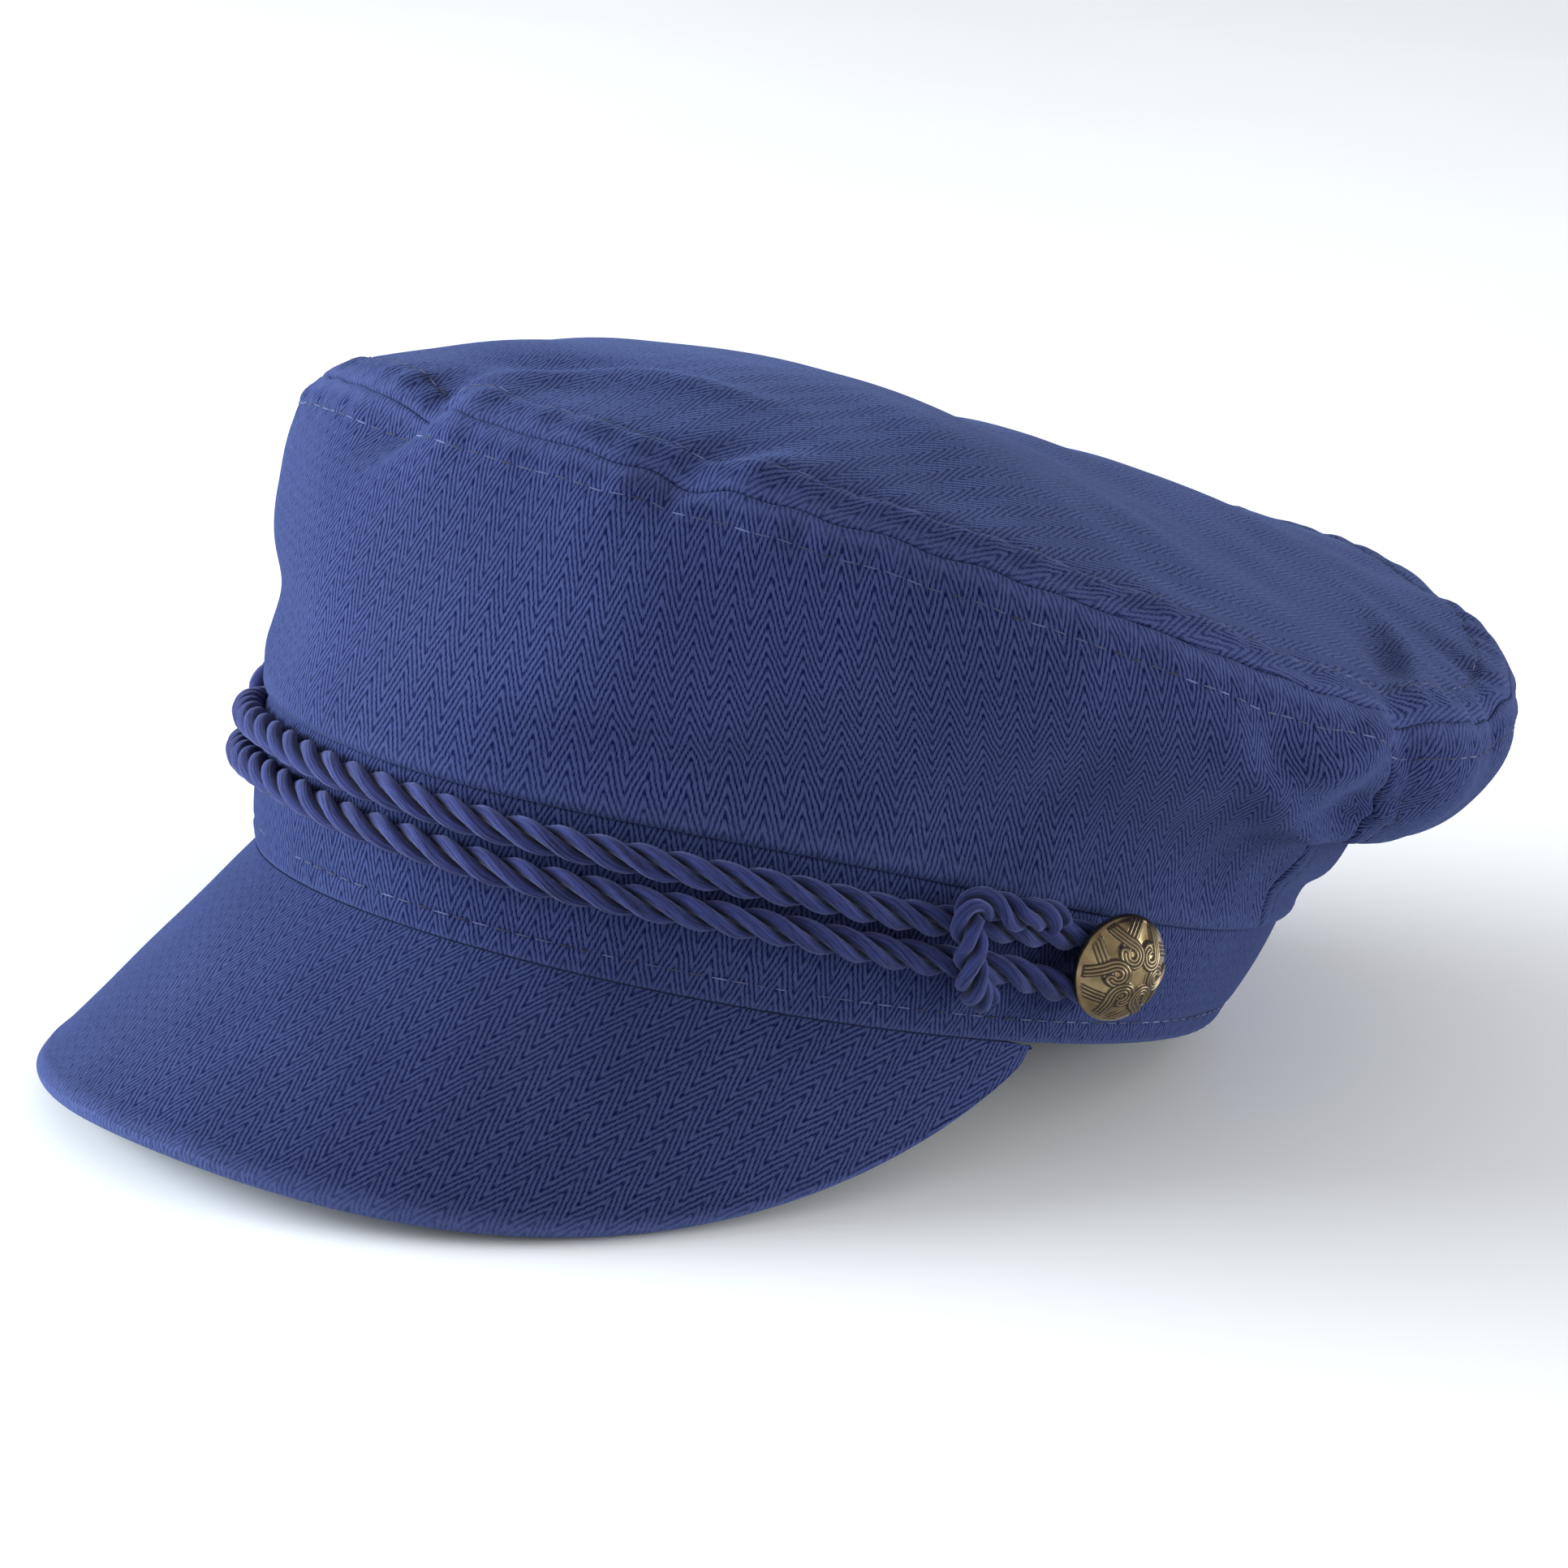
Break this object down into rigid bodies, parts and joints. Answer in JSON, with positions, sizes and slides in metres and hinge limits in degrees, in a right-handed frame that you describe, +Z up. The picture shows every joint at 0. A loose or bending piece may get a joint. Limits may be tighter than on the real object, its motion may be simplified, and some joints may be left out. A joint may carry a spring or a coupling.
{
  "type": "breton fisherman cap",
  "caption": "Soft cotton herringbone cap with a puffed oval crown, upright band, bent peak and a knotted cord held by domed brass buttons",
  "frame": {"origin": "on the surface that the cap rests on, under the middle of its outline", "axes": "+Z up, -Y towards the peak, +X towards the wearer's left; the cap leans back about 11 degrees as it rests on its peak and on the rear of its band"},
  "size_m": [0.2244, 0.311, 0.127],
  "materials": {
    "cloth": "matt blue cotton herringbone twill",
    "rope": "matt twisted cotton, violet blue",
    "antique_brass": "satin antique brass with darkened grooves"
  },
  "bodies": {
    "root": {"crown_top": "cloth", "crown_side_front": "cloth", "crown_side_rear": "cloth", "band": "cloth", "peak": "cloth", "rope_upper": "rope", "rope_lower": "rope", "knot_left": "rope", "knot_right": "rope", "button_left": "antique_brass", "button_right": "antique_brass"}
  },
  "joints": []
}
